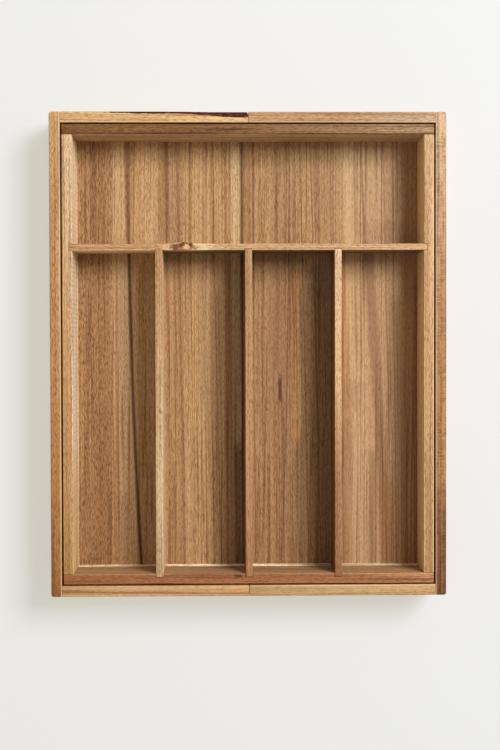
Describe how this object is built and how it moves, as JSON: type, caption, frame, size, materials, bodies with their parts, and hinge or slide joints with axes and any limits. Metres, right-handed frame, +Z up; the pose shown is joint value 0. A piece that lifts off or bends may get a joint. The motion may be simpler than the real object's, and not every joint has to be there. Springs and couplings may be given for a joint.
{
  "type": "expandable cutlery tray",
  "caption": "Wooden cutlery tray with a row of long compartments and one across the back, carried between two side wings that slide out to widen it.",
  "frame": {"origin": "on the surface the tray stands on, under the middle of the closed tray", "axes": "+X to the right, the way the right wing slides; +Y to the back, where the wide compartment is; +Z up, out of the compartments"},
  "size_m": [0.352, 0.43, 0.055],
  "materials": {
    "tray_back_wall_wood": "oiled acacia, satin, open grain",
    "tray_front_wall_wood": "oiled acacia, satin, open grain",
    "tray_side_wall_wood": "oiled acacia, satin, open grain",
    "tray_floor_wood": "oiled acacia, satin, open grain",
    "cross_divider_wood": "oiled acacia, satin, open grain",
    "long_divider_wood": "oiled acacia, satin, open grain",
    "runner_wood": "oiled acacia, satin, open grain",
    "wing_side_wall_wood": "oiled acacia, satin, open grain",
    "wing_rail_wood": "oiled acacia, satin, open grain",
    "wing_floor_wood": "oiled acacia, satin, open grain"
  },
  "bodies": {
    "tray": {"tray_back_wall": "tray_back_wall_wood", "tray_front_wall": "tray_front_wall_wood", "tray_left_wall": "tray_side_wall_wood", "tray_right_wall": "tray_side_wall_wood", "tray_floor_left_board": "tray_floor_wood", "tray_floor_right_board": "tray_floor_wood", "cross_divider": "cross_divider_wood", "long_divider_left": "long_divider_wood", "long_divider_middle": "long_divider_wood", "long_divider_right": "long_divider_wood", "runner_back_left": "runner_wood", "runner_back_right": "runner_wood", "runner_front_left": "runner_wood", "runner_front_right": "runner_wood"},
    "left_wing": {"left_wing_side_wall": "wing_side_wall_wood", "left_wing_back_rail": "wing_rail_wood", "left_wing_front_rail": "wing_rail_wood", "left_wing_floor": "wing_floor_wood"},
    "right_wing": {"right_wing_side_wall": "wing_side_wall_wood", "right_wing_back_rail": "wing_rail_wood", "right_wing_front_rail": "wing_rail_wood", "right_wing_floor": "wing_floor_wood"}
  },
  "joints": [
    {"name": "left_wing_slide", "type": "slide", "parent": "tray", "child": "left_wing", "axis": [-1, 0, 0], "range_m": [0, 0.105]},
    {"name": "right_wing_slide", "type": "slide", "parent": "tray", "child": "right_wing", "axis": [1, 0, 0], "range_m": [0, 0.105]}
  ]
}
